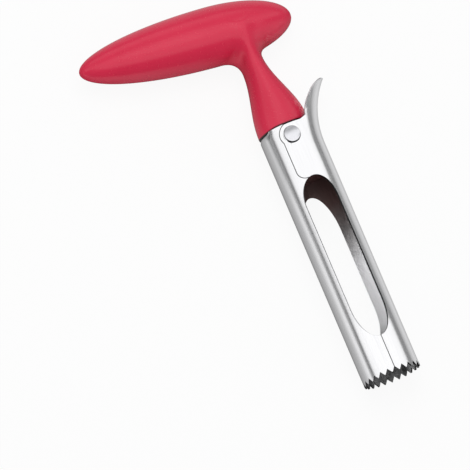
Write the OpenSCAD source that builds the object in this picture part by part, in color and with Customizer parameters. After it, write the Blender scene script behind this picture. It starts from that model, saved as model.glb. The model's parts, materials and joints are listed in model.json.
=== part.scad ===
// Apple corer: a T-handle on a toothed steel tube that is split lengthwise. One half of the tube hinges
// on a rivet and carries a thumb lever, so that pressing the lever opens the tube and drops the core.
// The pieces are drawn upright, with the tube along Z, its tooth tips at height 0 and its front facing -Y.
// They are then laid on their back: +Y runs up the tube to the handle and +Z is the front.

/* [Tube] */
// Outer diameter of the tube
tube_d = 24.6; // [22:0.2:28]
// Thickness of the steel sheet
sheet_t = 0.8; // [0.6:0.1:1]
// Width of the slit between the two halves
seam_gap = 0.3; // [0.2:0.1:0.6]
// Teeth on each half
half_teeth = 12; // [8:1:14]
// Height of a tooth
tooth_h = 2; // [1.2:0.1:2.6]
// Width of the flat at a tooth's tip
tooth_land = 0.25; // [0.2:0.05:0.5]

/* [Windows] */
// Height of the windows' lower end above the tooth tips
window_low = 16; // [12:0.5:22]
// Distance from the handle's base down to the front window's upper end
window_drop = 24.2; // [22:0.2:28]
// How far the rear window ends below the front one
rear_window_drop = 4.3; // [0:0.1:5]
// Width of a window, measured straight across
window_w = 14.6; // [11:0.2:16]
// Height of the rounded lower end
window_low_round = 14.5; // [8:0.5:18]
// Height of the front window's rounded upper end
window_top_round = 11; // [8:0.5:18]
// Height of the rear window's rounded upper end
rear_top_round = 17.5; // [8:0.5:18]

/* [Pivot] */
// Distance from the handle's base down to the rivet's axis
pivot_drop = 5; // [4.6:0.1:6]
// Sideways place of the rivet's axis
pivot_x = -1; // [-1.4:0.1:0]
// How far the lever half swings open, in degrees
open_angle = 12; // [6:1:12]
// Radius of each ear round the rivet
ear_r = 5; // [4.6:0.1:5.4]
// Width of each ear to the left of the rivet's axis
ear_w = 4.4; // [3.8:0.1:4.6]
// Radius of the ear's lower corner
ear_corner_r = 3.6; // [1.5:0.1:4]
// Distance from the front window's top down to an ear's lower edge
ear_drop = 0.2; // [0.1:0.1:1.2]
// Gap round an ear
ear_gap = 0.2; // [0.15:0.05:0.4]
// Radius of the flat that is coined into each ear
seat_r = 4; // [3.8:0.1:4.2]
// Diameter of a rivet head
head_d = 7; // [6.4:0.1:7.4]
// Height of the straight rim of a rivet head
head_rim = 0.3; // [0.2:0.1:0.5]
// Height of the dome on a rivet head
head_dome = 1.15; // [0.8:0.05:1.4]
// Outer diameter of the rivet sleeve
sleeve_d = 4.5; // [4:0.1:5]
// Diameter of the rivet pin's shank
pin_d = 3; // [2.4:0.1:3.2]
// Length of the rivet pin's shank
pin_len = 16; // [10:1:19]
// Thickness of a pivot washer
washer_t = 0.4; // [0.3:0.05:0.5]
// Diameter of a pivot washer
washer_d = 7.2; // [6.4:0.1:7.4]

/* [Thumb lever] */
// Distance from the handle's base down to where the sheet starts to bend outwards
lever_drop = 11.7; // [9:0.1:14]
// Radius of the bend
lever_bend_r = 38; // [32:1:50]
// Length of the sheet from the start of the bend to the lever's tip
lever_len = 28.2; // [24:0.2:34]
// Half the angle that the lever spans round the tube
lever_half_angle = 58; // [48:1:62]

/* [Handle] */
// Height of the handle's base above the tooth tips
base_h = 112.5; // [100:0.5:126]
// Height of the bar's thickest point above the handle's base
bar_rise = 48.2; // [44:0.2:56]
// Sideways place of the bar's thickest point
bar_x = -21.4; // [-26:0.2:-16]
// Diameter of the bar at its thickest point
bar_d = 26.4; // [24:0.2:30]
// Length of the bar's long end
bar_long = 50; // [42:0.5:60]
// Length of the bar's short end
bar_short = 42; // [36:0.5:50]
// Upward tilt of the bar's long end, in degrees
bar_tilt = 6; // [0:0.5:8]
// Height of the neck's waist above the handle's base
waist_rise = 28.5; // [25:0.5:31]
// Left edge of the waist
waist_left = -7.5; // [-9:0.1:-7]
// Right edge of the waist
waist_right = 2.2; // [2:0.1:4]
// Half the depth of the neck at the waist
waist_depth = 10.2; // [9.6:0.1:10.6]
// Height above the base at which the neck's right side starts to narrow
waist_lag = 3; // [1:0.5:4]
// Radius of the fillet from the waist to the bar's long end
fillet_left = 7; // [4:0.5:8]
// Radius of the fillet from the waist to the bar's short end
fillet_right = 3; // [2:0.5:5]
// Thickness of the soft skin over the bar's core
skin_t = 2.6; // [2:0.1:4]
// Half the width of the core's blade inside the neck
blade_r = 3.2; // [2.4:0.1:3.3]
// Half the depth of the core's blade
blade_depth = 7.5; // [6:0.1:8]
// Radius of the core's shoulder above the plug
shoulder_r = 8; // [7:0.1:8.4]
// Height of the core's shoulder
shoulder_h = 6; // [4:0.5:8]
// Distance from the front window's top to the lower end of the plug
plug_clear = 1; // [0.5:0.1:7]

/* [Tang] */
// Angle that the fixed half's tang spans
tang_angle = 60; // [40:5:70]
// Distance that the tang is stepped inwards
tang_step = 2.6; // [2.2:0.1:3]
// Height over which the tang steps inwards
tang_step_h = 5.5; // [4.5:0.5:6.5]
// Height of the tang's straight end
tang_len = 8.5; // [6:0.5:10]
// Diameter of the hole that locks the tang into the moulding
tang_hole_d = 4; // [3:0.5:5]

/* [Hidden] */
$fn = 96;

// Clearances
fit_gap = 0.05;      // between the plug and the fixed half, and between the ears and the sleeve
pin_gap = 0.01;      // between the pin's shank and the sleeve
swing_gap = 0.3;     // between the swinging half and the plug
base_gap = 0.3;      // between the swinging half's upper edge and the handle's base
seat_gap = 0.1;      // between an ear and its washer
head_gap = 0.05;     // between an ear and its rivet head
seat_skim = 0.7;     // depth of the coined flat below the tube's surface
neck_side_gap = 0.1; // between the neck's right edge and the plug's side, seen from below
neck_front_gap = 0.4; // between the neck's front edge and the tube's inside, seen from below
patch_inset = 0.05;  // thinning of the flared sheet where it grows out of the tube wall
patch_lap = 1;       // overlap of the flared sheet and the tube wall, in mm and in degrees
over = 1;            // reach of a cutting shape past what it cuts

// Heights above the tooth tips
window_top = base_h - window_drop;
pivot_h = base_h - pivot_drop;
lever_start = base_h - lever_drop;
bar_h = base_h + bar_rise;
waist_h = base_h + waist_rise;

// Tube
tube_r = tube_d / 2;
bore_r = tube_r - sheet_t;
tooth_step = 180 / half_teeth;
tooth_pitch = 2 * tube_r * sin(tooth_step / 2);
lever_top = base_h - base_gap;
far = 2 * tube_d;

// Ears and their stack on the rivet, as distances from the tube's axis
seat_face = tube_r - seat_skim;
seat_back = seat_face - sheet_t;
head_face = seat_face + head_gap;
boss_face = seat_back - seat_gap - washer_t;
head_r = head_d / 2;

// Plug and neck, which stay clear of the lever half while it swings
wall_in = (bore_r - pivot_x) * (1 - cos(open_angle)) + (lever_top - pivot_h) * sin(open_angle);
plug_r = bore_r - wall_in - swing_gap;
plug_low = window_top + plug_clear;
neck_left = -tube_r;
neck_right = plug_r - neck_side_gap;
neck_depth = bore_r - neck_front_gap;
blade_x = (waist_left + waist_right) / 2;
shoulder_x = (neck_left + neck_right) / 2;
neck_sink = 6.5;     // height that the neck's upper end stays below the bar's thickest point
neck_top = bar_h - neck_sink;
fillet_lead = 1;     // height below the waist at which the left fillet starts

// Flared sheet of the thumb lever, in degrees from the lever's centre line
fade_lead = 7;       // angle before the lever's side edge at which the flare starts to fade
fade_span = 18;      // angle over which it fades into the plain tube
patch_lead = 5;      // length of plain sheet below the bend
no_turn = 0.001;     // bend, in degrees, that stands for a straight sheet
fade_start = lever_half_angle - fade_lead;
fade_end = fade_start + fade_span;
patch_low = lever_start - patch_lead;
lever_tip = lever_start + lever_len;
patch_cols = 24;
patch_rows = 18;

// Points of the loft, the bar and the windows
neck_rows = 26;
neck_sides = 40;
bar_steps = 40;
end_step = 7.5;      // angle between the points of a window's rounded end

function smooth(t) = let (c = min(1, max(0, t))) c * c * (3 - 2 * c);
function between(a, b, t) = a + (b - a) * t;

// Extra half width that a fillet of radius r adds at a distance d past its start
function fillet(r, d) = let (c = min(r, max(0, d))) r - sqrt(r * r - c * c);

// Half-height of the bar, at a distance d from its thickest point
function bar_half(d, long, short, r) = r * sqrt(max(0, 1 - pow(d / (d < 0 ? long : short), 2)));

// The two triangles of a four-cornered face
function quad(a, b, c, d) = [[a, b, c], [a, c, d]];

module lay_down() {
    rotate([-90, 0, 0]) children();
}

// Extrudes a front-view outline through the whole depth of the tube
module through() {
    rotate([90, 0, 0]) linear_extrude(far, center = true) children();
}

// A round part on the rivet's axis, from one distance in front of the tube's axis to another
module on_pivot(from, to, r) {
    translate([pivot_x, -from, pivot_h]) rotate([90, 0, 0]) cylinder(r = r, h = to - from);
}

// Everything to the left of a place across the tube
module left_of(x) {
    translate([x - far, -far, -over]) cube([far, 2 * far, base_h + far]);
}

module front_and_rear() {
    children();
    mirror([0, 1, 0]) children();
}

module tube_wall(low, high) {
    difference() {
        translate([0, 0, low]) cylinder(r = tube_r, h = high - low);
        translate([0, 0, low - over]) cylinder(r = bore_r, h = high - low + 2 * over);
    }
}

// A slot with elliptical ends, seen from the front
module window_outline(top, top_round) {
    half = window_w / 2;
    top_mid = top - top_round;
    low_mid = window_low + window_low_round;
    upper = [for (a = [0 : end_step : 180]) [half * cos(a), top_mid + top_round * sin(a)]];
    lower = [for (a = [180 : end_step : 360]) [half * cos(a), low_mid + window_low_round * sin(a)]];
    polygon(concat(upper, lower));
}

module windows() {
    rear_top = window_top - rear_window_drop;
    rotate([90, 0, 0]) linear_extrude(far) window_outline(window_top, window_top_round);
    rotate([90, 0, 0]) translate([0, 0, -far]) linear_extrude(far) window_outline(rear_top, rear_top_round);
}

// The notches between the teeth of one half, with a valley at each seam
module tooth_valleys() {
    half = (tooth_pitch - tooth_land) / 2;
    for (i = [0 : half_teeth])
        rotate([0, 0, i * tooth_step - 90])
            translate([bore_r - over, 0, 0])
                rotate([90, 0, 90])
                    linear_extrude(sheet_t + 2 * over)
                        polygon([[-half, -over], [half, -over], [half, 0], [0, tooth_h], [-half, 0]]);
}

// An ear and the wall beside it as seen from the front, grown by a gap
module ear_outline(gap) {
    left = pivot_x - ear_w - gap;
    corner = ear_corner_r + gap;
    ear_low = window_top - ear_drop - gap;
    translate([pivot_x, pivot_h]) circle(r = ear_r + gap);
    translate([left, ear_low + corner]) square([-left, pivot_h - ear_low - corner]);
    translate([left + corner, ear_low]) square([-left - corner, pivot_h - ear_low]);
    translate([left + corner, ear_low + corner]) circle(r = corner);
}

// The lever half as seen from the front
module lever_outline() {
    translate([seam_gap / 2, 0]) square([far, lever_top]);
    ear_outline(0);
}

// Point on the flared sheet: r from the tube's axis, b degrees from the lever's centre line,
// s along the sheet
function lever_point(r, b, s) =
    let (
        share = 1 - smooth((abs(b) - fade_start) / (fade_end - fade_start)),
        run = max(0, s - lever_start),
        turn = max(no_turn, run / lever_bend_r * 180 / PI * share),
        arm = run / (turn * PI / 180),
        depth = r * cos(b) - tube_r
    )
    [
        tube_r + arm * (1 - cos(turn)) + depth * cos(turn),
        r * sin(b),
        min(s, lever_start) + arm * sin(turn) - depth * sin(turn)
    ];

// Upper edge of the flared sheet: level beside the ears, an ellipse over the lever
function lever_edge(b) =
    lever_top + (lever_tip - lever_top) * sqrt(max(0, 1 - pow(min(1, abs(b) / lever_half_angle), 2)));

module flared_sheet() {
    span = fade_end + patch_lap;
    end = patch_rows;
    side = patch_cols;
    skin = (patch_cols + 1) * (patch_rows + 1);
    points = [
        for (r = [tube_r - patch_inset, bore_r + patch_inset])
            for (i = [0 : patch_cols])
                for (j = [0 : patch_rows])
                    let (b = between(-span, span, i / patch_cols))
                        lever_point(r, b, between(patch_low - patch_lap, lever_edge(b), j / patch_rows))
    ];
    at = function (i, j) i * (patch_rows + 1) + j;
    faces = [
        for (i = [0 : patch_cols - 1])
            for (j = [0 : patch_rows - 1])
                each concat(
                    quad(at(i, j), at(i, j + 1), at(i + 1, j + 1), at(i + 1, j)),
                    quad(skin + at(i, j), skin + at(i + 1, j), skin + at(i + 1, j + 1), skin + at(i, j + 1))
                ),
        for (i = [0 : patch_cols - 1])
            each concat(
                quad(at(i, 0), at(i + 1, 0), skin + at(i + 1, 0), skin + at(i, 0)),
                quad(at(i + 1, end), at(i, end), skin + at(i, end), skin + at(i + 1, end))
            ),
        for (j = [0 : patch_rows - 1])
            each concat(
                quad(at(0, j + 1), at(0, j), skin + at(0, j), skin + at(0, j + 1)),
                quad(at(side, j), at(side, j + 1), skin + at(side, j + 1), skin + at(side, j))
            )
    ];
    polyhedron(points, faces);
}

// The space of the flared sheet, cut out of the plain tube wall
module flare_sector() {
    edge = [far * cos(fade_end), far * sin(fade_end)];
    translate([0, 0, patch_low])
        linear_extrude(far)
            polygon([[0, 0], [edge[0], -edge[1]], [2 * far, -edge[1]], [2 * far, edge[1]], edge]);
}

module lever_half_tube() {
    color("gainsboro") lay_down() difference() {
        union() {
            difference() {
                union() {
                    difference() {
                        intersection() {
                            tube_wall(0, lever_top);
                            through() lever_outline();
                        }
                        flare_sector();
                    }
                    flared_sheet();
                }
                front_and_rear() on_pivot(seat_face, far, seat_r);
            }
            front_and_rear() on_pivot(seat_back, seat_face, seat_r);
        }
        windows();
        tooth_valleys();
        front_and_rear() on_pivot(boss_face, seat_back, seat_r);
        on_pivot(-far, far, sleeve_d / 2 + fit_gap);
    }
}

// The tang: a strip of the fixed half that steps inwards above the handle's base
module tang() {
    step_low = base_h - sheet_t;
    step_high = step_low + tang_step_h;
    tip = step_high + tang_len;
    difference() {
        rotate([0, 0, 180 - tang_angle / 2])
            rotate_extrude(angle = tang_angle)
                polygon([
                    [bore_r, step_low - sheet_t], [tube_r, step_low - sheet_t], [tube_r, step_low],
                    [tube_r - tang_step, step_high], [tube_r - tang_step, tip],
                    [bore_r - tang_step, tip], [bore_r - tang_step, step_high], [bore_r, step_low]
                ]);
        translate([0, 0, step_high + tang_len / 2])
            rotate([0, -90, 0])
                cylinder(d = tang_hole_d, h = far);
    }
}

module fixed_half_tube() {
    color("silver") lay_down() {
        difference() {
            union() {
                intersection() {
                    tube_wall(0, base_h);
                    left_of(-seam_gap / 2);
                }
                tang();
            }
            windows();
            mirror([1, 0, 0]) tooth_valleys();
            through() ear_outline(ear_gap);
            through() translate([pivot_x - ear_w / 2, pivot_h]) square([far, far]);
        }
    }
}

// The plug inside the tube, with the blade, shoulder and bar of the handle's rigid core
module core_body() {
    translate([0, 0, plug_low]) cylinder(r = plug_r, h = base_h - plug_low);
    intersection() {
        translate([0, 0, plug_low]) cylinder(r = bore_r - fit_gap, h = base_h - plug_low);
        left_of(pivot_x - ear_r - 2 * ear_gap);
    }
    front_and_rear() on_pivot(0, boss_face, seat_r - ear_gap);
    translate([shoulder_x, 0, base_h - over]) cylinder(r = shoulder_r, h = shoulder_h + over);
    translate([blade_x, 0, base_h])
        linear_extrude(bar_h - base_h)
            union() {
                square([2 * blade_r, 2 * (blade_depth - blade_r)], center = true);
                for (side = [-1, 1])
                    translate([0, side * (blade_depth - blade_r)]) circle(r = blade_r);
            }
    bar(skin_t);
}

// The bar as a solid of revolution about its tilted axis, smaller all round by inset
module bar(inset) {
    long = bar_long - inset;
    short = bar_short - inset;
    translate([bar_x, 0, bar_h])
        rotate([0, 90 + bar_tilt, 0])
            rotate_extrude()
                polygon(concat(
                    [[0, -long]],
                    [for (i = [1 : bar_steps - 1])
                        let (a = -90 + 180 * i / bar_steps, d = sin(a) * (a < 0 ? long : short))
                            [bar_half(d, long, short, bar_d / 2 - inset), d]],
                    [[0, short]]
                ));
}

// The waisted neck: elliptical sections from the base up into the bar
module neck() {
    rise = waist_h - base_h;
    left = function (z) between(neck_left, waist_left, smooth((z - base_h) / rise))
        - fillet(fillet_left, z - waist_h + fillet_lead);
    right = function (z) between(neck_right, waist_right, smooth((z - base_h - waist_lag) / rise))
        + fillet(fillet_right, z - waist_h - fillet_right);
    points = [
        for (j = [0 : neck_rows])
            let (
                z = between(base_h, neck_top, j / neck_rows),
                mid = (left(z) + right(z)) / 2,
                half = (right(z) - left(z)) / 2,
                depth = between(neck_depth, waist_depth, smooth((z - base_h) / rise))
            )
            for (i = [0 : neck_sides - 1])
                let (a = 360 * i / neck_sides)
                    [mid + half * cos(a), depth * sin(a), z]
    ];
    sides = [
        for (j = [0 : neck_rows - 1])
            for (i = [0 : neck_sides - 1])
                let (n = (i + 1) % neck_sides, low = j * neck_sides, high = low + neck_sides)
                    each quad(high + i, high + n, low + n, low + i)
    ];
    floor_face = [for (i = [0 : neck_sides - 1]) i];
    roof_face = [for (i = [neck_sides - 1 : -1 : 0]) neck_rows * neck_sides + i];
    polyhedron(points, concat(sides, [floor_face, roof_face]));
}

module handle_core() {
    color("firebrick") lay_down() difference() {
        core_body();
        tang();
        on_pivot(-far, far, sleeve_d / 2 + pin_gap);
    }
}

module grip() {
    color("crimson") lay_down() difference() {
        union() {
            bar(0);
            neck();
        }
        core_body();
        tang();
    }
}

// A rivet head as a solid of revolution, with its flat underside at height 0
module rivet_head() {
    ball_r = (head_r * head_r + head_dome * head_dome) / (2 * head_dome);
    cylinder(r = head_r, h = head_rim);
    translate([0, 0, head_rim])
        rotate_extrude()
            intersection() {
                translate([0, head_dome - ball_r]) circle(r = ball_r);
                square([head_r, head_dome]);
            }
}

module rivet_pin() {
    color("lightgray") lay_down() {
        translate([pivot_x, -head_face, pivot_h]) rotate([90, 0, 0]) rivet_head();
        on_pivot(head_face - pin_len, head_face, pin_d / 2);
    }
}

module rivet_sleeve() {
    color("darkgray") lay_down() difference() {
        union() {
            translate([pivot_x, head_face, pivot_h]) rotate([-90, 0, 0]) rivet_head();
            on_pivot(-head_face, head_face, sleeve_d / 2);
        }
        on_pivot(head_face - pin_len - over, head_face + over, pin_d / 2 + pin_gap);
    }
}

// A washer between the plug and the front ear
module washer() {
    difference() {
        on_pivot(boss_face, boss_face + washer_t, washer_d / 2);
        on_pivot(0, far, sleeve_d / 2 + pin_gap);
    }
}

module front_washer() {
    color("ivory") lay_down() washer();
}

module rear_washer() {
    color("ivory") lay_down() mirror([0, 1, 0]) washer();
}

grip();
handle_core();
fixed_half_tube();
lever_half_tube();
rivet_pin();
rivet_sleeve();
front_washer();
rear_washer();
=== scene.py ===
"""Looks of the apple corer: a soft red T-handle on a split, toothed tube of brushed steel.

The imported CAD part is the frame: +Y runs up the tube to the handle, +X is the side of the lever half,
+Z is the front. The part's sizes are millimetres here and become metres in the meshes. The stage and
the sizes written in node calls are metres.
"""

import json
import math

import bmesh
import bpy
import numpy as np
from mathutils import Matrix, Vector
from mathutils.geometry import delaunay_2d_cdt

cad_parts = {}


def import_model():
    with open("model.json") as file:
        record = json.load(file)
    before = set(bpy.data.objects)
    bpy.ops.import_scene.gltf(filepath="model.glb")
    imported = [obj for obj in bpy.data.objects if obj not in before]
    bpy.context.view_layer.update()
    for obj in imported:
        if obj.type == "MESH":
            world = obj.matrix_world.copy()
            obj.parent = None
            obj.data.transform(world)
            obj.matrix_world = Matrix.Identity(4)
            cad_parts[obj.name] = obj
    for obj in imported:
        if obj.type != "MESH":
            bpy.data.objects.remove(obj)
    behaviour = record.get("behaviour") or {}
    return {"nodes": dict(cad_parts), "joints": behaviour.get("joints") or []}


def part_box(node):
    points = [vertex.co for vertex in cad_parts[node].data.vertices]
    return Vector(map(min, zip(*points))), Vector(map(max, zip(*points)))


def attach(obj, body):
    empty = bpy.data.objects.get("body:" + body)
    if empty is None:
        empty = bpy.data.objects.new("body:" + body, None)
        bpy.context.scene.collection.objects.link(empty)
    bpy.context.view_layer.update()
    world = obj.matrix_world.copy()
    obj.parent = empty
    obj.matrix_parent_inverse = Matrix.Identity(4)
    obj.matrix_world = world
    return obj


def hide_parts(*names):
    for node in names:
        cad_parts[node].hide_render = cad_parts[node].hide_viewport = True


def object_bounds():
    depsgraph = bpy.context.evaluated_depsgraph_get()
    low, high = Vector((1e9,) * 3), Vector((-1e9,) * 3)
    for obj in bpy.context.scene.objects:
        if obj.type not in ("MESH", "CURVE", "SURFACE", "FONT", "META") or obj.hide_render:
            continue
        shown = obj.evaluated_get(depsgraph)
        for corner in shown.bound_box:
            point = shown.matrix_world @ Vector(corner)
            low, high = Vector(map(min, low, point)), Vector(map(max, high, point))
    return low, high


MM = 0.001
TINY = 1e-6

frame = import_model()
cad_low, cad_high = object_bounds()


def in_mm(vector):
    return np.array(vector, float) / MM


# Sizes read from the frame
grip_low, grip_high = map(in_mm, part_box("grip"))
fixed_low, fixed_high = map(in_mm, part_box("fixed_half_tube"))
pin_low, pin_high = map(in_mm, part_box("rivet_pin"))
PIVOT_X, PIVOT_Y, _ = in_mm(frame["joints"][0]["pos_m"])
TUBE_R = -fixed_low[0]
TANG_TIP = fixed_high[1]
BASE_Y = grip_low[1]
PIN_END = pin_low[2]
HEAD_TOP = pin_high[2]

# Steel sheet, seams and teeth
SHEET_T = 0.8
SEAM_HALF = {"front": 0.15, "rear": 0.02}
HALF_TEETH = 12
TOOTH_H = 2.0
TOOTH_LAND = 0.25
EDGE_ROUND = 0.08
EDGE_ROUND_STEPS = 2
EDGE_ROUND_ANGLE = math.radians(40)

# Windows
WINDOW_HALF = {"front": 7.3, "rear": 6.8}
WINDOW_LOW = 16.0
WINDOW_LOW_ROUND = 14.5
WINDOW_TOP = {"front": 88.3, "rear": 84.0}
WINDOW_TOP_ROUND = {"front": 11.0, "rear": 17.5}
CORNER_SEARCH_STEPS = 40

# Ears and their seats for the rivet's heads
EAR_LOW = 88.1
EAR_R = 5.0
EAR_W = 4.4
EAR_CORNER = 3.6
EAR_GAP = {"front": 0.27, "rear": 0.04}
EAR_HOLE_R = 2.3
EAR_HOLE_SIDES = 32
LEVER_TOP = 112.2
SEAT_R = 3.28
SEAT_RAMP = 0.35
SEAT_SHIFT = (-0.2, -0.24)
SEAT_DEPTH = 0.7
SEAT_FACE = TUBE_R - SEAT_DEPTH

# Rivet
HEAD_SLIM = 0.16
HEAD_R = (pin_high[0] - pin_low[0]) / 2 - HEAD_SLIM
HEAD_RIM = 0.85
HEAD_DOME = 0.6
HEAD_EDGE = 0.1
HEAD_CHAMFER = 0.06
RIM_TOP = HEAD_TOP - HEAD_DOME
HEAD_UNDER = RIM_TOP - HEAD_RIM
HEAD_RINGS = 14
RIVET_SIDES = 72
SLEEVE_R = 2.25
SLEEVE_BORE_FROM = 18.0
PIN_R = 1.5
PIN_CHAMFER = 0.2
SHARP_ANGLE = math.radians(35)
MERGE_GAP = 1e-7

# Thumb lever
LEVER_START = 100.8
LEVER_BEND_R = 38.0
LEVER_TIP = 128.94
LEVER_HALF_ANGLE = {"front": 58.0, "rear": 51.0}
LEVER_EDGE_POINTS = 121
FADE_START = 51.0
FADE_END = 69.0

# Tang of the fixed half, inside the handle
TANG_HALF_ANGLE = 30.0
TANG_STEP = 2.6
TANG_STEP_H = 5.5
BEND_IN = 0.75
BEND_START = 110.0
BEND_FADE = 20.0
TANG_HOLE_R = 2.0
TANG_HOLE_Y = 121.45

# Mesh of the unrolled sheets: wide rows of points along the tube, close ones at the pivot and the lever
OUTLINE_STEP = 1.4
EDGE_MARGIN = 0.28
ROWS_LOW = 1.2
ROWS_WIDE = 2.2
ROWS_CLOSE_FROM = 86.0
ROWS_CLOSE = 0.9
COLUMNS_HALF = 26.0
COLUMNS = 57
SEAT_CLEAR = 1.6
SEAT_INNER_R = 2.8
SEAT_RINGS = (0, 0.25, 0.5, 0.75, 1, 1.4)
SEAT_SIDES = 44
FILL_WITH_HOLES = 2
FILL_GAP = 1e-5

# Painted shade of the steel: a height above the tooth tips, then a grey level or a colour
SHADE_SPAN = 130.0
# Inside: painted shade, darker at the mouth and up towards the handle, and tinted brown there as a painted
# reflection of the red core
INSIDE_SHADE = (
    (6, 150), (14, 158), (24, 240), (49, 255), (66, 142, 138, 137),
    (78, 114, 90, 87), (92, 118, 88, 84), (108, 125, 122, 122), (114, 215),
)
# Cut edges: painted shade, dark at the teeth, by the ears and along the lever half's window, and lighter at
# the lever's upper edge as a painted highlight
FIXED_EDGE_SHADE = ((14, 60), (17, 215), (80, 225), (87, 70))
LEVER_EDGE_SHADE = ((16, 25), (95, 40), (112, 70), (114, 190))
NO_SHADE = ((0, 255),)
MOUTH_Y = (5.0, 11.0)
STROKE_SPREAD = 0.035
CLOUD_SPREAD = 0.02

# Handle
BAR_X = -13.4
BAR_Y = 159.5
BAR_R = 12.53
BAR_DEPTH = 13.2
BAR_LONG = 57.6
BAR_SHORT = 34.0
BAR_TILT = math.radians(5.4)
NECK_LEFT = -TUBE_R
NECK_RIGHT = 9.85
NECK_DEPTH = 11.1
WAIST_Y = 141.0
WAIST_LEFT = -7.5
WAIST_RIGHT = 2.2
WAIST_DEPTH = 10.2
WAIST_LAG = 3.0
NECK_TOP = 158.0
NECK_TOP_DEPTH = 12.3
BLEND_LEFT = 8.0
BLEND_RIGHT = 4.0
BLEND_FRONT = 3.6
FRONT_Z = 8.0
BASE_ROUND = 0.35
BASE_ROUND_RIGHT = 2.7
BASE_DROP = 0.9
BASE_DROP_X = (-12.0, -6.0)
# Heights over which the painted shade in hollows comes in, so that it lies on the bar and upper neck only
HOLLOW_SHADE_Y = (122.0, 136.0)

# Painted shadow: a dark line along the handle's lower edge where it meets the steel, which rises with the
# round at its right
BASE_SHADOW_LEVEL = 12
BASE_SHADOW_H = 1.0
BASE_SHADOW_FULL = 0.42
BASE_SHADOW_LIFT = 2.3
BASE_SHADOW_LIFT_X = (6.4, 9.4)

# Mesh of the handle
HANDLE_GRID = 0.62
SLOPE_STEP = 0.02
SLOPE_LEAST = 0.04
RELAX_ROUNDS = 4
RELAX_SHARE = 0.5
SETTLE_ROUNDS = 2

# View, from the photograph's perspective: tilt and turn of the tube, roll of its image, and framing
IMAGE_PX = 470
VIEW_TILT = math.radians(10.2)
VIEW_TURN = math.radians(11.2)
VIEW_ROLL = math.radians(23.1)
VIEW_DISTANCE = 6000.0
MM_PER_PX = 0.4103
TARGET = np.array([-20.0, 85.0, 0.0])
TARGET_PX = (267.64, 206.5)
SENSOR = 36.0
CLIP_NEAR = 0.05
CLIP_FAR = 20.0

# Floor: the grey levels across it that the steel mirrors, and where they fade
FLOOR_HALF = 0.9
FLOOR_SEEN = 0.92
FLOOR_MIRRORED = 0.95
FLOOR_REACH = 0.3
FLOOR_LEVELS = (
    (-0.25, 252), (-0.1, 242), (-0.08, 234), (-0.055, 211), (-0.039, 189), (-0.029, 176), (-0.022, 170),
    (-0.015, 145), (-0.009, 60), (0.008, 60), (0.014, 150), (0.026, 205), (0.041, 222), (0.068, 206),
    (0.142, 178), (0.25, 140),
)
FLOOR_FADE_LEFT = (0.122, 0.152)
FLOOR_FADE_RIGHT = (0.118, 0.16)
FLOOR_FADE_X = (0.0, 0.012)
FLOOR_FADED = 0.12
FLOOR_FAR_SLANT = 0.18
FLOOR_FAR_FADE = (0.077, 0.092)
FLOOR_FAR_FADED = 0.55
FLOOR_FAR_X = (-0.11, -0.05)
FLOOR_FRONT = (-0.15, -0.02)
FLOOR_BEHIND = (0.165, 0.185)
FLOOR_BEHIND_X = (-0.11, -0.06)
FLOOR_BEHIND_TONE = 195

# Dome: grey levels by direction, each of whose parts runs from -1 to 1
DOME_REACH = 1.0
DOME_EDGE = (0.75, 0.26)
DOME_EDGE_TURN = (-0.05, 0.14)
DOME_SOFT = 0.03
DOME_DARK_LEFT = ((-0.6, 70), (-0.4, 132))
DOME_DARK_RIGHT = ((-0.5, 235), (-0.3, 165), (-0.05, 132))
DOME_DARK_X = (0.2, 0.5)
DOME_SIDE_X = (-0.9, -0.74)
DOME_SIDE_LEVELS = ((-0.05, 200), (0.0, 180), (0.1, 118), (0.15, 108))
DOME_LEVELS = ((0.1, 255), (0.27, 243), (0.42, 205), (0.55, 180), (0.7, 184), (0.88, 250))
DOME_STRENGTH = 1.17
FILL_LIGHT = 0.55

# Lamps
SOFTBOX_LIGHT = 0.38
SOFTBOX_SIZE = 0.5
SOFTBOX_FROM = (0.0, 0.3, 0.95)
TUBE_LIGHT = 1.6
TUBE_LIGHT_SIZE = 0.3
TUBE_LIGHT_FROM = (-0.55, 0.65, 0.5)
LAMP_DISTANCE = 0.7


def smooth(t):
    c = np.clip(t, 0, 1)
    return c * c * (3 - 2 * c)


def mix(a, b, t):
    return a + (b - a) * t


def srgb(*levels):
    """Linear RGBA of an sRGB colour, or of one grey level, given from 0 to 255."""
    scaled = [v / 255 for v in (levels * 3 if len(levels) == 1 else levels)]
    return tuple(v / 12.92 if v <= 0.04045 else ((v + 0.055) / 1.055) ** 2.4 for v in scaled) + (1.0,)


WHITE = srgb(255)


def new_object(name, mesh, material):
    piece = bpy.data.objects.new(name, mesh)
    bpy.context.scene.collection.objects.link(piece)
    mesh.materials.append(material)
    return piece


# Node helpers, and the places of a Mix node's colour sockets
MIX_FIRST = 6
MIX_SECOND = 7
MIX_RESULT = 2


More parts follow.
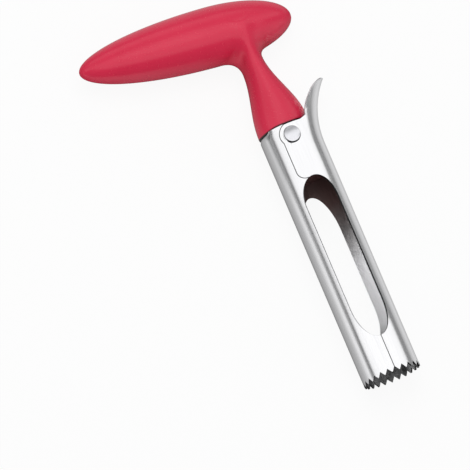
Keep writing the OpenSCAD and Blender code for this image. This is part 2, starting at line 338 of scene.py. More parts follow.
class Nodes:
    """Short calls to add and join shader nodes."""

    def __init__(self, tree):
        self.tree = tree

    def add(self, kind, inputs=None, **settings):
        node = self.tree.nodes.new(kind)
        for key, value in settings.items():
            setattr(node, key, value)
        for key, value in (inputs or {}).items():
            self.set(node, key, value)
        return node

    def set(self, node, key, value):
        if isinstance(value, bpy.types.NodeSocket):
            self.tree.links.new(value, node.inputs[key])
        else:
            node.inputs[key].default_value = value

    def math(self, operation, a, b):
        return self.add("ShaderNodeMath", {0: a, 1: b}, operation=operation).outputs[0]

    def place(self):
        """Object coordinates, which are the frame's own because each piece has its origin there."""
        return self.add("ShaderNodeTexCoord").outputs["Object"]

    def scaled_place(self, *scale):
        """Object coordinates, scaled along each axis."""
        return self.add("ShaderNodeMapping", {"Vector": self.place(), "Scale": scale}).outputs["Vector"]

    def split(self, vector):
        """The x, y and z of a vector."""
        return self.add("ShaderNodeSeparateXYZ", {"Vector": vector}).outputs

    def noise(self, place, scale=1.0, detail=3.0, roughness=0.55):
        inputs = {"Vector": place, "Scale": scale, "Detail": detail, "Roughness": roughness}
        return self.add("ShaderNodeTexNoise", inputs).outputs["Fac"]

    def range(self, value, low, high, from_low=0.3, from_high=0.7):
        """The value, mapped to low and high. Without a span of its own, it is taken to be a noise."""
        inputs = {"Value": value, "From Min": from_low, "From Max": from_high}
        inputs.update({"To Min": low, "To Max": high})
        return self.add("ShaderNodeMapRange", inputs).outputs["Result"]

    def colours(self, value, *stops):
        ramp = self.add("ShaderNodeValToRGB", {"Fac": value})
        elements = ramp.color_ramp.elements
        while len(elements) < len(stops):
            elements.new(0.5)
        for element, (place, colour) in zip(elements, stops):
            element.position = place
            element.color = colour
        return ramp.outputs["Color"]

    def greys(self, value, reach, levels):
        """Grey by a value that runs from -reach to reach, from levels given at places on that run."""
        share = self.range(value, 0.0, 1.0, -reach, reach)
        return self.colours(share, *[((at + reach) / (2 * reach), srgb(level)) for at, level in levels])

    def above(self, low, high):
        """A share that grows from 0 to 1 between two heights above the tooth tips."""
        _, height, _ = self.split(self.place())
        return self.range(height, 0.0, 1.0, low * MM, high * MM)

    def along_tube(self, colour, levels):
        """The colour, with the painted shade given at heights above the tooth tips."""
        stops = [(y / SHADE_SPAN, srgb(*level)) for y, *level in levels]
        return self.multiplied(colour, self.colours(self.above(0.0, SHADE_SPAN), *stops))

    def painted_base_shadow(self, colour):
        """The colour, with a painted shadow line along the handle's lower edge."""
        x, y, _ = self.split(self.place())
        drop = self.range(x, BASE_DROP * MM, 0.0, *[at * MM for at in BASE_DROP_X])
        lift = self.range(x, 0.0, BASE_SHADOW_LIFT * MM, *[at * MM for at in BASE_SHADOW_LIFT_X])
        height = self.math("SUBTRACT", self.math("ADD", y, drop), lift)
        share = self.range(height, 0.0, 1.0, BASE_Y * MM, (BASE_Y + BASE_SHADOW_H) * MM)
        line = self.colours(share, (BASE_SHADOW_FULL, srgb(BASE_SHADOW_LEVEL)), (1.0, WHITE))
        return self.multiplied(colour, line)

    def mixed(self, first, second, share):
        inputs = {"Factor": share, MIX_FIRST: first, MIX_SECOND: second}
        return self.add("ShaderNodeMix", inputs, data_type="RGBA").outputs[MIX_RESULT]

    def multiplied(self, colour, shade):
        inputs = {"Factor": 1.0, MIX_FIRST: colour, MIX_SECOND: shade}
        node = self.add("ShaderNodeMix", inputs, data_type="RGBA", blend_type="MULTIPLY")
        return node.outputs[MIX_RESULT]

    def painted_hollow_shade(self, colour, *stops, reach):
        """The colour, with painted shade where another surface lies within reach."""
        open_share = self.add("ShaderNodeAmbientOcclusion", {"Distance": reach}).outputs["AO"]
        return self.multiplied(colour, self.colours(open_share, *stops))

    def bump(self, height, strength, distance, normal=None):
        inputs = {"Height": height, "Strength": strength, "Distance": distance}
        if normal is not None:
            inputs["Normal"] = normal
        return self.add("ShaderNodeBump", inputs).outputs["Normal"]

    def light(self, kind, colour, strength):
        """An Emission or Background shader."""
        return self.add(kind, {"Color": colour, "Strength": strength}).outputs[0]

    def blended(self, first, second, share):
        """Two shaders, mixed."""
        return self.add("ShaderNodeMixShader", {0: share, 1: first, 2: second}).outputs[0]


def empty_material(name):
    material = bpy.data.materials.new(name)
    material.use_nodes = True
    material.node_tree.nodes.clear()
    return material, Nodes(material.node_tree)


def new_material(name):
    material, nodes = empty_material(name)
    shader = nodes.add("ShaderNodeBsdfPrincipled")
    nodes.add("ShaderNodeOutputMaterial", {"Surface": shader.outputs[0]})
    return material, nodes, shader


# Materials
def soft_red():
    """Soft-touch moulded skin: a fine eroded grain, faint flow marks and slightly uneven gloss.

    It has painted shade in the crease between bar and neck, and a painted shadow line along its lower edge.
    """
    material, nodes, shader = new_material("soft_red")
    flow = nodes.noise(nodes.scaled_place(60, 22, 60), detail=4.0)
    grain = nodes.noise(nodes.place(), scale=4200.0, detail=2.0)
    mottle = nodes.noise(nodes.place(), scale=900.0)
    colour = nodes.colours(flow, (0.25, srgb(217, 35, 71)), (0.75, srgb(225, 42, 78)))
    # Painted shade in the crease between bar and neck, only above the given heights
    shaded = nodes.painted_hollow_shade(colour, (0.5, srgb(192, 45, 72)), (0.97, WHITE), reach=0.009)
    colour = nodes.mixed(colour, shaded, nodes.above(*HOLLOW_SHADE_Y))
    # Painted shadow line along the lower edge, where the skin meets the steel
    nodes.set(shader, "Base Color", nodes.painted_base_shadow(colour))
    nodes.set(shader, "Roughness", nodes.range(mottle, low=0.23, high=0.28))
    normal = nodes.bump(grain, strength=0.02, distance=0.00002)
    normal = nodes.bump(mottle, strength=0.02, distance=0.00003, normal=normal)
    nodes.set(shader, "Normal", normal)
    shader.inputs["Specular IOR Level"].default_value = 0.5
    return material


def core_red():
    """Darker rigid moulding with a coarse spark-eroded grain. Its red is painted down to a dark brown, as
    the shade that falls on it inside the tube.
    """
    material, nodes, shader = new_material("core_red")
    grain = nodes.noise(nodes.place(), scale=2600.0, detail=2.0)
    patches = nodes.noise(nodes.place(), scale=180.0)
    # Dark brownish red: the core's red with painted shade in it
    colour = nodes.colours(patches, (0.3, srgb(92, 58, 56)), (0.7, srgb(104, 66, 63)))
    nodes.set(shader, "Base Color", colour)
    nodes.set(shader, "Roughness", nodes.range(patches, low=0.45, high=0.58))
    nodes.set(shader, "Normal", nodes.bump(grain, strength=0.2, distance=0.00008))
    return material


def brushed_steel(name, along, light, dark, rough, metal=1.0, shade=NO_SHADE, mouth_blotches=False):
    """Stainless steel with brush strokes along Y, finer hairs over them and a slightly cloudy gloss.

    Painted shade darkens it in narrow hollows and by the shade given at each height. Where asked, it is
    also uneven in tone in random patches near the mouth.
    """
    material, nodes, shader = new_material(name)
    strokes = nodes.noise(nodes.scaled_place(2600, along, 2600), roughness=0.6)
    hairs = nodes.noise(nodes.scaled_place(7000, along * 2.5, 7000), detail=2.0)
    clouds = nodes.noise(nodes.scaled_place(90, 40, 90))
    colour = nodes.colours(strokes, (0.3, dark), (0.7, light))
    # Painted shade: darker where another surface lies close, as round the rivet's heads, and by the shade
    # given for each height
    colour = nodes.painted_hollow_shade(colour, (0.4, srgb(70, 70, 72)), (0.85, WHITE), reach=0.0006)
    colour = nodes.along_tube(colour, shade)
    # Random patches of darker tone near the mouth
    if mouth_blotches:
        patches = nodes.noise(nodes.scaled_place(330, 120, 330), detail=2.0)
        blotches = nodes.colours(patches, (0.38, srgb(120)), (0.6, WHITE))
        colour = nodes.mixed(nodes.multiplied(colour, blotches), colour, nodes.above(*MOUTH_Y))
    nodes.set(shader, "Base Color", colour)
    stroke_rough = nodes.range(strokes, low=rough - STROKE_SPREAD, high=rough + STROKE_SPREAD)
    cloud_rough = nodes.range(clouds, low=-CLOUD_SPREAD, high=CLOUD_SPREAD)
    nodes.set(shader, "Roughness", nodes.math("ADD", stroke_rough, cloud_rough))
    normal = nodes.bump(strokes, strength=0.035, distance=0.00004)
    normal = nodes.bump(hairs, strength=0.03, distance=0.00002, normal=normal)
    nodes.set(shader, "Normal", normal)
    shader.inputs["Metallic"].default_value = metal
    return material


def nylon():
    """Natural nylon: pale, waxy and a little cloudy."""
    material, nodes, shader = new_material("nylon")
    clouds = nodes.noise(nodes.place(), scale=700.0)
    colour = nodes.colours(clouds, (0.3, srgb(214, 212, 200)), (0.7, srgb(228, 227, 217)))
    nodes.set(shader, "Base Color", colour)
    nodes.set(shader, "Roughness", nodes.range(clouds, low=0.38, high=0.5))
    shader.inputs["Subsurface Weight"].default_value = 0.15
    shader.inputs["Subsurface Radius"].default_value = (0.001, 0.001, 0.0008)
    return material


SOFT_RED = soft_red()
CORE_RED = core_red()
TUBE_STEEL = brushed_steel(
    "tube_steel", along=30, light=srgb(249, 249, 250), dark=srgb(238, 238, 240), rough=0.2
)
TUBE_INSIDE = brushed_steel(
    "tube_inside", along=30, light=srgb(238, 238, 239), dark=srgb(226, 226, 228),
    rough=0.5, metal=0.1, shade=INSIDE_SHADE, mouth_blotches=True,
)
EDGE_FINISH = {
    "along": 300, "light": srgb(200, 200, 202), "dark": srgb(186, 186, 189), "rough": 0.5, "metal": 0.2,
}
FIXED_EDGE = brushed_steel("fixed_edge", shade=FIXED_EDGE_SHADE, **EDGE_FINISH)
LEVER_EDGE = brushed_steel("lever_edge", shade=LEVER_EDGE_SHADE, **EDGE_FINISH)
RIVET_STEEL = brushed_steel(
    "rivet_steel", along=900, light=srgb(230, 230, 234), dark=srgb(218, 218, 223), rough=0.19
)
# Dark steel for the rims and undersides of the rivet's heads: painted shade, as of the shadow round each
# head
RIVET_RIM_SHADE = brushed_steel("rivet_rim_painted_shade", along=900, light=srgb(78, 78, 80), dark=srgb(62, 62, 64), rough=0.45)
NYLON = nylon()


# Outlines of the half tubes, as seen from the front, with x positive towards the half's own side
def arc(cx, cy, rx, ry, start, end, step=6.0):
    """Points of an elliptical arc from one angle to another, in degrees."""
    count = max(2, int(abs(end - start) / step) + 1)
    angles = np.radians(np.linspace(start, end, count))
    return [(cx + rx * math.cos(a), cy + ry * math.sin(a)) for a in angles]


def seam_to_window(side):
    """From the valley at the seam, up the slit and along the window's lower end to its straight side."""
    seam = SEAM_HALF[side]
    half = WINDOW_HALF[side]
    slit_angle = math.degrees(math.acos(seam / half))
    valley = TOOTH_H * (1 - seam / (math.pi * TUBE_R / HALF_TEETH / 2))
    lower = arc(0, WINDOW_LOW + WINDOW_LOW_ROUND, half, WINDOW_LOW_ROUND, -slit_angle, 0)
    return [(seam, valley)] + lower


def ear_side(side, width, corner, low):
    """The window's upper end and the lower corner of an ear, or of its notch, up to the straight side.

    width is that side's x, negative on the ear's own half and positive on the other half.
    """
    sign = math.copysign(1, width)
    corner_x = width - sign * corner
    half, top, top_round = WINDOW_HALF[side], WINDOW_TOP[side], WINDOW_TOP_ROUND[side]
    middle_y = top - top_round
    if top > low:
        def gap_to_corner(angle):
            x = half * math.cos(math.radians(angle))
            y = middle_y + top_round * math.sin(math.radians(angle))
            inside = min(corner, max(0.0, sign * (x - corner_x)))
            return y - (low + corner - math.sqrt(corner ** 2 - inside ** 2))

        near, far = (45.0, 90.0) if sign > 0 else (135.0, 90.0)
        for _ in range(CORNER_SEARCH_STEPS):
            middle = (near + far) / 2
            near, far = (middle, far) if gap_to_corner(middle) < 0 else (near, middle)
        points = arc(0, middle_y, half, top_round, 0, near)
        reach = sign * (points[-1][0] - corner_x) / corner
    else:
        seam = SEAM_HALF[side]
        slit_angle = math.degrees(math.acos(seam / half))
        points = arc(0, middle_y, half, top_round, 0, slit_angle) + [(seam, low)]
        reach = 0.0
    turn = math.degrees(math.asin(max(0.0, reach)))
    rounding = arc(corner_x, low + corner, sign * corner, corner, -90 + turn, 0)
    return points + (rounding[1:] if reach > 0 else rounding)


def lever_side(side):
    start = math.degrees(math.acos(EAR_W / EAR_R))
    end = math.degrees(math.asin((LEVER_TOP - PIVOT_Y) / EAR_R))
    points = ear_side(side, PIVOT_X - EAR_W, EAR_CORNER, EAR_LOW)
    return seam_to_window(side) + points + arc(PIVOT_X, PIVOT_Y, -EAR_R, EAR_R, -start, end)


def fixed_side(side):
    gap = EAR_GAP[side]
    radius = EAR_R + gap
    start = math.degrees(math.acos((EAR_W + gap) / radius))
    shoulder = math.degrees(math.acos(EAR_W / 2 / radius))
    points = ear_side(side, EAR_W + gap - PIVOT_X, EAR_CORNER + gap, EAR_LOW - gap)
    round_ear = arc(-PIVOT_X, PIVOT_Y, radius, radius, -start, shoulder)
    return seam_to_window(side) + points + round_ear + [(EAR_W / 2 - PIVOT_X, BASE_Y)]


def unrolled(points, sign):
    """Front-view points as distances round the tube from the half's middle, and heights.

    sign is 1 on the front and -1 on the rear.
    """
    return [(sign * TUBE_R * (math.pi / 2 - math.asin(x / TUBE_R)), y) for x, y in points]


def teeth_edge():
    """The saw teeth from the rear seam to the front one."""
    pitch = math.pi * TUBE_R / HALF_TEETH
    points = []
    for i in range(HALF_TEETH):
        middle = (i + 0.5 - HALF_TEETH / 2) * pitch
        points += [(middle - TOOTH_LAND / 2, 0.0), (middle + TOOTH_LAND / 2, 0.0)]
        if i < HALF_TEETH - 1:
            points.append((middle + pitch / 2, TOOTH_H))
    return points


def lever_top_edge():
    """The upper edge from the front ear over the lever's tip to the rear ear."""
    points = []
    for angle in np.linspace(90, -90, LEVER_EDGE_POINTS)[1:-1]:
        half_angle = LEVER_HALF_ANGLE["front" if angle > 0 else "rear"]
        rise = math.sqrt(max(0.0, 1 - (angle / half_angle) ** 2))
        points.append((TUBE_R * math.radians(angle), LEVER_TOP + (LEVER_TIP - LEVER_TOP) * rise))
    return points


def tang_edge():
    """The upper edge of the fixed half, with the tang in its middle."""
    side = TUBE_R * math.radians(TANG_HALF_ANGLE)
    return [(side, BASE_Y), (side, TANG_TIP), (-side, TANG_TIP), (-side, BASE_Y)]


def ring(radius, count, sign, shift=(0, 0)):
    """A ring round the rivet's axis, or beside it, on the front or rear of the unrolled sheet."""
    middle = (PIVOT_X + shift[0], PIVOT_Y + shift[1])
    return unrolled(arc(*middle, radius, radius, 0, 360, 360 / count)[:-1], sign)


# Sheets from their outlines
def resampled(loop, longest):
    """The loop with long edges divided."""
    points = []
    for a, b in zip(loop, loop[1:] + loop[:1]):
        count = max(1, math.ceil(math.dist(a, b) / longest))
        points += [tuple(mix(np.array(a), np.array(b), i / count)) for i in range(count)]
    return points


def inside_points(loop, points, margin):
    """Those points that lie inside the loop, no nearer to it than the margin."""
    start = np.array(loop)
    end = np.roll(start, -1, axis=0)
    px, py = points[:, None, 0], points[:, None, 1]
    crosses = (start[:, 1] > py) != (end[:, 1] > py)
    run = np.where(end[:, 1] == start[:, 1], 1, end[:, 1] - start[:, 1])
    left = px < start[:, 0] + (py - start[:, 1]) * (end[:, 0] - start[:, 0]) / run
    inside = (crosses & left).sum(1) % 2 == 1
    edge = end - start
    along = ((px - start[:, 0]) * edge[:, 0] + (py - start[:, 1]) * edge[:, 1]) / (edge ** 2).sum(1)
    along = np.clip(along, 0, 1)
    gap = np.hypot(px - start[:, 0] - along * edge[:, 0], py - start[:, 1] - along * edge[:, 1]).min(1)
    return points[inside & (gap > margin)]


def sheet_grid(top):
    """Points over the unrolled half, apart from the rivet's seats."""
    wide = np.arange(ROWS_LOW, ROWS_CLOSE_FROM, ROWS_WIDE)
    rows = np.concatenate([wide, np.arange(ROWS_CLOSE_FROM, top, ROWS_CLOSE)])
    columns = np.linspace(-COLUMNS_HALF, COLUMNS_HALF, COLUMNS)
    grid = np.array([(u, y) for y in rows for u in columns])
    for sign in (1, -1):
        pivot = np.array(unrolled([(PIVOT_X, PIVOT_Y)], sign)[0])
        grid = grid[np.hypot(*(grid - pivot).T) > SEAT_R + SEAT_CLEAR * SEAT_RAMP]
    return grid


def sheet_mesh(name, loop, holes, extra, place):
    """The unrolled outline, filled and put in place, with its faces turned outwards."""
    loop = resampled(loop, OUTLINE_STEP)
    grid = sheet_grid(max(y for _, y in loop))
    fill = [tuple(p) for p in inside_points(loop, np.vstack([grid, extra]), EDGE_MARGIN)]
    points, edges = [], []
    for chain in [loop] + holes:
        first = len(points)
        points += chain
        edges += [(first + i, first + (i + 1) % len(chain)) for i in range(len(chain))]
    filled = delaunay_2d_cdt([Vector(p) for p in points + fill], edges, [], FILL_WITH_HOLES, FILL_GAP)
    corners, _, faces = filled[:3]
    mesh = bpy.data.meshes.new(name)
    mesh.from_pydata([tuple(place(*corner) * MM) for corner in corners], [], faces)
    build = bmesh.new()
    build.from_mesh(mesh)
    bmesh.ops.recalc_face_normals(build, faces=build.faces)
    outward = 0.0
    for face in build.faces:
        face.smooth = True
        centre = face.calc_center_median()
        outward += face.normal.x * centre.x + face.normal.z * centre.z
    if outward < 0:
        bmesh.ops.reverse_faces(build, faces=build.faces)
    build.to_mesh(mesh)
    build.free()
    return mesh


def sheet_piece(name, mesh, cut_edge):
    """A sheet of steel, thickened inwards from the mesh of its outer face, with its edges rounded."""
    piece = new_object(name, mesh, TUBE_STEEL)
    mesh.materials.append(TUBE_INSIDE)
    mesh.materials.append(cut_edge)
    thick = piece.modifiers.new("sheet", "SOLIDIFY")
    thick.thickness = SHEET_T * MM
    thick.offset = -1
    thick.material_offset = 1
    thick.material_offset_rim = 2
    thick.use_even_offset = True
    edge = piece.modifiers.new("edge_round", "BEVEL")
    edge.width = EDGE_ROUND * MM
    edge.segments = EDGE_ROUND_STEPS
    edge.limit_method = "ANGLE"
    edge.angle_limit = EDGE_ROUND_ANGLE
    edge.harden_normals = True
    return piece


def lever_place(u, s):
    """Place of a point of the lever half: round the tube, out along the lever, flat at its seats."""
    angle = u / TUBE_R
    share = 1 - smooth((abs(math.degrees(angle)) - FADE_START) / (FADE_END - FADE_START))
    run = max(0.0, s - LEVER_START)
    turn = run / LEVER_BEND_R * share
    out, up = run ** 2 / 2 / LEVER_BEND_R * share, run
    if turn > TINY:
        out, up = run / turn * (1 - math.cos(turn)), run / turn * math.sin(turn)
    depth = TUBE_R * (math.cos(angle) - 1)
    x = TUBE_R + out + depth * math.cos(turn)
    y = min(s, LEVER_START) + up - depth * math.sin(turn)
    z = TUBE_R * math.sin(angle)
    from_seat = math.hypot(x - PIVOT_X - SEAT_SHIFT[0], y - PIVOT_Y - SEAT_SHIFT[1])
    seat = 1 - smooth((from_seat - SEAT_R) / SEAT_RAMP)
    return np.array([x, y, mix(z, math.copysign(SEAT_FACE, z), seat)])


def fixed_place(u, y):
    """Place of a point of the fixed half, which bends inwards below its tang, just under the handle."""
    angle = u / TUBE_R
    share = 1 - smooth((abs(math.degrees(angle)) - TANG_HALF_ANGLE) / BEND_FADE)
    bend = BEND_IN * share * smooth((y - BEND_START) / (BASE_Y - BEND_START))
    radius = TUBE_R - bend - (TANG_STEP - bend) * np.clip((y - BASE_Y) / TANG_STEP_H, 0, 1)
    return np.array([-radius * math.cos(angle), y, radius * math.sin(angle)])


def half_loop(side_outline, top_edge):
    front = unrolled(side_outline("front"), 1)
    rear = unrolled(side_outline("rear"), -1)
    return teeth_edge() + front + top_edge + rear[::-1]


def lever_sheet():
    holes = [ring(EAR_HOLE_R, EAR_HOLE_SIDES, sign) for sign in (1, -1)]
    radii = [SEAT_INNER_R] + [SEAT_R + SEAT_RAMP * share for share in SEAT_RINGS]
    rings = [ring(radius, SEAT_SIDES, sign, SEAT_SHIFT) for radius in radii for sign in (1, -1)]
    loop = half_loop(lever_side, lever_top_edge())
    mesh = sheet_mesh("lever_half_sheet", loop, holes, np.vstack(rings), lever_place)
    piece = sheet_piece("lever_half_sheet", mesh, LEVER_EDGE)
    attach(piece, "lever_half")
    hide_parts("lever_half_tube")
    return piece


def fixed_sheet():
    hole = arc(0, TANG_HOLE_Y, TANG_HOLE_R, TANG_HOLE_R, 0, 360, step=15)[:-1]
    loop = half_loop(fixed_side, tang_edge())
    mesh = sheet_mesh("fixed_half_sheet", loop, [hole], np.empty((0, 2)), fixed_place)
    piece = sheet_piece("fixed_half_sheet", mesh, FIXED_EDGE)
    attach(piece, "handle")
    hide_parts("fixed_half_tube")
    return piece


# Rivet
def turned_piece(name, profile, facing):
    """A solid of revolution on the rivet's axis, from (radius, distance from the tube's axis) points.

    facing is 1 for the front and -1 for the rear. The dome is bright, and the rest is dark steel as painted
    shade round the head.
    """
    vertices, faces = [], []
    for radius, height in profile:
        for i in range(RIVET_SIDES):
            a = 2 * math.pi * i / RIVET_SIDES
            place = (PIVOT_X + radius * math.cos(a), PIVOT_Y + radius * math.sin(a), facing * height)
            vertices.append(tuple(v * MM for v in place))
    for low in range(0, (len(profile) - 1) * RIVET_SIDES, RIVET_SIDES):
        high = low + RIVET_SIDES
        for i in range(RIVET_SIDES):
            n = (i + 1) % RIVET_SIDES
            faces.append((low + i, low + n, high + n, high + i))
    mesh = bpy.data.meshes.new(name)
    mesh.from_pydata(vertices, [], faces)
    build = bmesh.new()
    build.from_mesh(mesh)
    bmesh.ops.remove_doubles(build, verts=build.verts, dist=MERGE_GAP)
    bmesh.ops.recalc_face_normals(build, faces=build.faces)
    for edge in build.edges:
        edge.smooth = len(edge.link_faces) == 2 and edge.calc_face_angle() < SHARP_ANGLE
    for face in build.faces:
        face.smooth = True
        face.material_index = 0 if facing * face.calc_center_median().z > RIM_TOP * MM else 1
    build.to_mesh(mesh)
    build.free()
    piece = new_object(name, mesh, RIVET_STEEL)
    mesh.materials.append(RIVET_RIM_SHADE)
    return piece


def head_profile():
    """A domed head from its crown to its underside, with a small round between dome and rim."""
    ball = (HEAD_R ** 2 + HEAD_DOME ** 2) / (2 * HEAD_DOME)
    flat_r = HEAD_R - HEAD_EDGE
    radii = np.linspace(0, flat_r, HEAD_RINGS)
    dome = [(r, HEAD_TOP - ball + math.sqrt(ball ** 2 - r ** 2)) for r in radii]
    round_low = dome[-1][1] - HEAD_EDGE
    edge = arc(flat_r, round_low, HEAD_EDGE, HEAD_EDGE, start=75, end=0, step=15)
    return dome + edge + [(HEAD_R, HEAD_UNDER + HEAD_CHAMFER), (HEAD_R - HEAD_CHAMFER, HEAD_UNDER)]


def rivet():
    shank = [(PIN_R, HEAD_UNDER), (PIN_R, PIN_END + PIN_CHAMFER)]
    shank_end = [(PIN_R - PIN_CHAMFER, PIN_END), (0, PIN_END)]
    pin = turned_piece("rivet_pin_turned", head_profile() + shank + shank_end, 1)
    outside = [(SLEEVE_R, HEAD_UNDER), (SLEEVE_R, -HEAD_UNDER)]
    bore_end = HEAD_UNDER - SLEEVE_BORE_FROM
    bore = [(PIN_R, -HEAD_UNDER), (PIN_R, bore_end), (0, bore_end)]
    sleeve = turned_piece("rivet_sleeve_turned", head_profile() + outside + bore, -1)
    for piece, node in ((pin, "rivet_pin"), (sleeve, "rivet_sleeve")):
        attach(piece, "handle")
        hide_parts(node)


# Handle
def egg_distance(x, y, z):
    """About the distance to the bar, an egg along its tilted axis."""
    along = (x - BAR_X) * math.cos(BAR_TILT) - (y - BAR_Y) * math.sin(BAR_TILT)
    across = (x - BAR_X) * math.sin(BAR_TILT) + (y - BAR_Y) * math.cos(BAR_TILT)
    length = np.where(along < 0, BAR_LONG, BAR_SHORT)
    reach = np.sqrt((along / length) ** 2 + (across / BAR_R) ** 2 + (z / BAR_DEPTH) ** 2)
    slope = np.sqrt((along / length ** 2) ** 2 + (across / BAR_R ** 2) ** 2 + (z / BAR_DEPTH ** 2) ** 2)
    return reach * (reach - 1) / np.maximum(slope, TINY)


def neck_distance(x, y, z):
    """About the distance to the waisted neck, which has elliptical sections."""
    rise = WAIST_Y - BASE_Y
    left = mix(NECK_LEFT, WAIST_LEFT, smooth((y - BASE_Y) / rise))
    right = mix(NECK_RIGHT, WAIST_RIGHT, smooth((y - BASE_Y - WAIST_LAG) / rise))
    depth = mix(NECK_DEPTH, WAIST_DEPTH, smooth((y - BASE_Y) / rise))
    depth = mix(depth, NECK_TOP_DEPTH, smooth((y - WAIST_Y) / (NECK_TOP - WAIST_Y)))
    off = x - (left + right) / 2
    half = (right - left) / 2
    reach = np.sqrt((off / half) ** 2 + (z / depth) ** 2)
    slope = np.sqrt((off / half ** 2) ** 2 + (z / depth ** 2) ** 2)
    return np.maximum(reach * (reach - 1) / np.maximum(slope, TINY), y - NECK_TOP)


def soft_min(a, b, reach):
    """The smaller of two distances, with a fillet of about that reach where they meet."""
    share = np.maximum(reach - np.abs(a - b), 0) / reach
    return np.minimum(a, b) - share ** 2 * reach / 4


def handle_distance(x, y, z):
    """About the distance to the skin: bar and neck with a fillet, cut off with a round at the base."""
    reach = mix(BLEND_LEFT, BLEND_RIGHT, smooth((x - WAIST_LEFT) / (WAIST_RIGHT - WAIST_LEFT)))
    reach = mix(reach, BLEND_FRONT, smooth(np.abs(z) / FRONT_Z))
    body = soft_min(egg_distance(x, y, z), neck_distance(x, y, z), reach)
    base_round = mix(BASE_ROUND, BASE_ROUND_RIGHT, smooth(x / NECK_RIGHT))
    drop_low, drop_high = BASE_DROP_X
    drop = BASE_DROP * smooth((drop_high - x) / (drop_high - drop_low))
    return -soft_min(-body, y - BASE_Y + drop, base_round)


def surface_net(distance, low, high, step):
    """Vertices and quads of a distance function's zero surface, one vertex in each cell that it crosses."""
    axes = [np.arange(a, b + step, step) for a, b in zip(low, high)]
    value = distance(*np.meshgrid(*axes, indexing="ij"))
    cells = [n - 1 for n in value.shape]
    total = np.zeros(cells + [3])
    count = np.zeros(cells)
    for axis in range(3):
        for shift in ((0, 0), (0, 1), (1, 0), (1, 1)):
            start = list(shift[:axis]) + [0] + list(shift[axis:])
            end = start.copy()
            end[axis] = 1
            a = value[tuple(slice(s, s + n) for s, n in zip(start, cells))]
            b = value[tuple(slice(s, s + n) for s, n in zip(end, cells))]
            crossed = (a < 0) != (b < 0)
            share = np.where(crossed, a / np.where(crossed, a - b, 1), 0)
            place = np.stack([np.full(cells, float(s)) for s in start], -1)
            place[..., axis] += share
            total += np.where(crossed[..., None], place, 0)
            count += crossed
    used = count > 0
    number = np.full(cells, -1)
    number[used] = np.arange(used.sum())
    corner = np.argwhere(used)
    vertices = np.array([a[0] for a in axes]) + step * (corner + total[used] / count[used][:, None])
    quads = []
    for axis in range(3):
        u, v = (axis + 1) % 3, (axis + 2) % 3
        step_u, step_v = np.eye(3, dtype=int)[[u, v]]
        a = np.take(value, range(value.shape[axis] - 1), axis) < 0
        b = np.take(value, range(1, value.shape[axis]), axis) < 0
        for at in np.argwhere(a != b):
            if at[u] == 0 or at[v] == 0 or at[u] >= cells[u] or at[v] >= cells[v]:
                continue
            around = [at - step_u - step_v, at - step_v, at, at - step_u]
            quad = [number[tuple(c)] for c in around]
            quads.append(quad if a[tuple(at)] else quad[::-1])
    return vertices, np.array(quads)


def gradient(distance, points):
    slopes = []
    for axis in range(3):
        shift = np.eye(3)[axis] * SLOPE_STEP
        slopes.append((distance(*(points + shift).T) - distance(*(points - shift).T)) / (2 * SLOPE_STEP))
    return np.stack(slopes, 1)


def relaxed(distance, vertices, quads):
    """The net's vertices, evened out and put back on the surface."""
    a, b = quads.ravel(), np.roll(quads, -1, axis=1).ravel()
    for _ in range(RELAX_ROUNDS):
        total = np.zeros_like(vertices)
        count = np.zeros(len(vertices))
        for one, other in ((a, b), (b, a)):
            np.add.at(total, one, vertices[other])
            np.add.at(count, one, 1)
        vertices = mix(vertices, total / count[:, None], RELAX_SHARE)
        for _ in range(SETTLE_ROUNDS):
            slope = gradient(distance, vertices)
            size = np.maximum((slope ** 2).sum(1), SLOPE_LEAST)
            vertices = vertices - slope * (distance(*vertices.T) / size)[:, None]
    return vertices


def handle():
    margin = 2 * HANDLE_GRID
    vertices, quads = surface_net(handle_distance, grip_low - margin, grip_high + margin, HANDLE_GRID)
    vertices = relaxed(handle_distance, vertices, quads)
    mesh = bpy.data.meshes.new("handle_skin")
    lowest = grip_low - (0, BASE_DROP, 0)
    mesh.from_pydata((np.clip(vertices, lowest, grip_high) * MM).tolist(), [], quads.tolist())
    mesh.shade_smooth()
    piece = new_object("handle_skin", mesh, SOFT_RED)
    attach(piece, "handle")
    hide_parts("grip")


# CAD nodes that stay as they are, with better materials
def dress_cad_nodes():
    for node, material in (("handle_core", CORE_RED), ("front_washer", NYLON), ("rear_washer", NYLON)):
        materials = frame["nodes"][node].data.materials
        materials.clear()
        materials.append(material)


# Stage
def view_axes():
    """The image's right, up and towards-the-viewer directions in the part's frame."""
    turn, tilt, roll = VIEW_TURN, VIEW_TILT, VIEW_ROLL
    down = np.array([math.sin(roll), -math.cos(roll), 0])
    side = np.array([math.cos(roll), math.sin(roll), 0])
    toward = np.array([0, 0, 1.0])
    tube_down = math.cos(tilt) * down + math.sin(tilt) * toward
    facing = -math.sin(tilt) * down + math.cos(tilt) * toward
    part_x = math.cos(turn) * side - math.sin(turn) * facing
    part_z = math.cos(turn) * facing + math.sin(turn) * side
    return np.stack([part_x, -tube_down, part_z], 1)


def camera():
    right, up, toward = view_axes()
    across = (TARGET_PX[0] - IMAGE_PX / 2) * MM_PER_PX
    above = (IMAGE_PX / 2 - TARGET_PX[1]) * MM_PER_PX
    centre = TARGET - right * across - up * above
    data = bpy.data.cameras.new("camera")
    data.sensor_width = SENSOR
    data.lens = SENSOR * VIEW_DISTANCE / (IMAGE_PX * MM_PER_PX)
    data.clip_start = CLIP_NEAR
    data.clip_end = CLIP_FAR
    eye = bpy.data.objects.new("camera", data)
    bpy.context.scene.collection.objects.link(eye)
    turn = Matrix([right, up, toward]).transposed().to_4x4()
    eye.matrix_world = Matrix.Translation(Vector((centre + toward * VIEW_DISTANCE) * MM)) @ turn
    bpy.context.scene.camera = eye


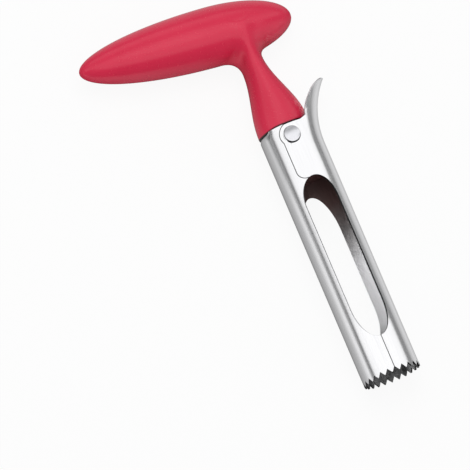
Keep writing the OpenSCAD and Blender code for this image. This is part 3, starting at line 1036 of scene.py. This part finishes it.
def floor():
    """A pale plane under the part.

    The camera sees it near white, with a soft shadow, and the steel mirrors grey bands along the part,
    as of studio flags and reflectors beside it.
    """
    mesh = bpy.data.meshes.new("floor")
    signs = ((-1, -1), (1, -1), (1, 1), (-1, 1))
    mesh.from_pydata([(i * FLOOR_HALF, j * FLOOR_HALF, cad_low.z) for i, j in signs], [], [(0, 1, 2, 3)])
    material, nodes = empty_material("pale_floor")
    x, y, _ = nodes.split(nodes.place())
    paper = nodes.noise(nodes.place(), scale=350.0, detail=4.0)
    pale = nodes.colours(paper, (0.3, srgb(240)), (0.7, srgb(244)))
    start, end = [
        nodes.range(x, left, right, *FLOOR_FADE_X) for left, right in zip(FLOOR_FADE_LEFT, FLOOR_FADE_RIGHT)
    ]
    beyond = nodes.range(y, 1.0, FLOOR_FADED, start, end)
    front = nodes.range(y, FLOOR_FADED, 1.0, *FLOOR_FRONT)
    slanted = nodes.math("ADD", y, nodes.math("MULTIPLY", x, FLOOR_FAR_SLANT))
    far_level = nodes.range(x, FLOOR_FAR_FADED, 1.0, *FLOOR_FAR_X)
    far = nodes.range(slanted, 1.0, far_level, *FLOOR_FAR_FADE)
    strength = nodes.math("MULTIPLY", nodes.math("MULTIPLY", beyond, front), far)
    behind_y = nodes.range(y, 0.0, 1.0, *FLOOR_BEHIND)
    behind_x = nodes.range(x, 0.0, 1.0, *FLOOR_BEHIND_X)
    behind = nodes.math("MULTIPLY", behind_y, behind_x)
    path = nodes.add("ShaderNodeLightPath").outputs
    camera_share = nodes.math("MULTIPLY", path["Is Camera Ray"], FLOOR_SEEN)
    glossy_share = nodes.math("MULTIPLY", path["Is Glossy Ray"], FLOOR_MIRRORED)
    matt = nodes.add("ShaderNodeBsdfDiffuse", {"Color": pale}).outputs[0]
    seen = nodes.light("ShaderNodeEmission", WHITE, 1.0)
    bands = nodes.light("ShaderNodeEmission", nodes.greys(x, FLOOR_REACH, FLOOR_LEVELS), strength)
    rear = nodes.light("ShaderNodeEmission", srgb(FLOOR_BEHIND_TONE), 1.0)
    surface = nodes.blended(matt, seen, camera_share)
    surface = nodes.blended(surface, nodes.blended(bands, rear, behind), glossy_share)
    nodes.add("ShaderNodeOutputMaterial", {"Surface": surface})
    piece = new_object("floor", mesh, material)


def world():
    """A studio dome: an even fill for matt surfaces, white for the camera, and grey zones to be mirrored.

    The zones are light above the dome's edge and darker below it.
    """
    studio = bpy.data.worlds.new("studio")
    bpy.context.scene.world = studio
    studio.use_nodes = True
    studio.node_tree.nodes.clear()
    nodes = Nodes(studio.node_tree)
    x, y, z = nodes.split(nodes.add("ShaderNodeTexCoord").outputs["Generated"])
    edge = nodes.range(y, *DOME_EDGE, *DOME_EDGE_TURN)
    above_edge = nodes.range(nodes.math("SUBTRACT", z, edge), 0.0, 1.0, -DOME_SOFT, DOME_SOFT)
    left, right, light = [
        nodes.greys(y, DOME_REACH, levels) for levels in (DOME_DARK_LEFT, DOME_DARK_RIGHT, DOME_LEVELS)
    ]
    side = nodes.greys(z, DOME_REACH, DOME_SIDE_LEVELS)
    dark = nodes.mixed(left, right, nodes.range(x, 0.0, 1.0, *DOME_DARK_X))
    dark = nodes.mixed(side, dark, nodes.range(x, 0.0, 1.0, *DOME_SIDE_X))
    zones = nodes.mixed(dark, light, above_edge)
    path = nodes.add("ShaderNodeLightPath").outputs
    fill = nodes.light("ShaderNodeBackground", WHITE, FILL_LIGHT)
    mirrored = nodes.light("ShaderNodeBackground", zones, DOME_STRENGTH)
    seen = nodes.light("ShaderNodeBackground", WHITE, 1.0)
    surface = nodes.blended(fill, mirrored, path["Is Glossy Ray"])
    surface = nodes.blended(surface, seen, path["Is Camera Ray"])
    nodes.add("ShaderNodeOutputWorld", {"Surface": surface})


def lamp(name, size, level, from_side, target):
    """A round soft lamp that the polished surfaces don't mirror."""
    data = bpy.data.lights.new(name, "AREA")
    data.shape = "DISK"
    data.size = size
    data.energy = level * math.pi ** 2 * LAMP_DISTANCE ** 2
    piece = bpy.data.objects.new(name, data)
    bpy.context.scene.collection.objects.link(piece)
    toward = Vector(from_side).normalized()
    piece.location = target + toward * LAMP_DISTANCE
    piece.rotation_euler = toward.to_track_quat("Z", "Y").to_euler()
    piece.visible_glossy = False
    return piece


def lamps(tube_pieces):
    """A large lamp above the part, and one for the tube alone, into its window from the handle's side."""
    lamp("softbox", SOFTBOX_SIZE, SOFTBOX_LIGHT, SOFTBOX_FROM, (cad_low + cad_high) / 2)
    window = Vector((0, (WINDOW_LOW + WINDOW_TOP["front"]) / 2 * MM, 0))
    snoot = lamp("tube_light", TUBE_LIGHT_SIZE, TUBE_LIGHT, TUBE_LIGHT_FROM, window)
    lit = bpy.data.collections.new("lit_by_tube_light")
    for piece in tube_pieces:
        lit.objects.link(piece)
    snoot.light_linking.receiver_collection = lit


handle()
tube_pieces = [fixed_sheet(), lever_sheet()]
rivet()
dress_cad_nodes()
camera()
floor()
world()
lamps(tube_pieces)
bpy.context.scene.view_settings.view_transform = "Standard"
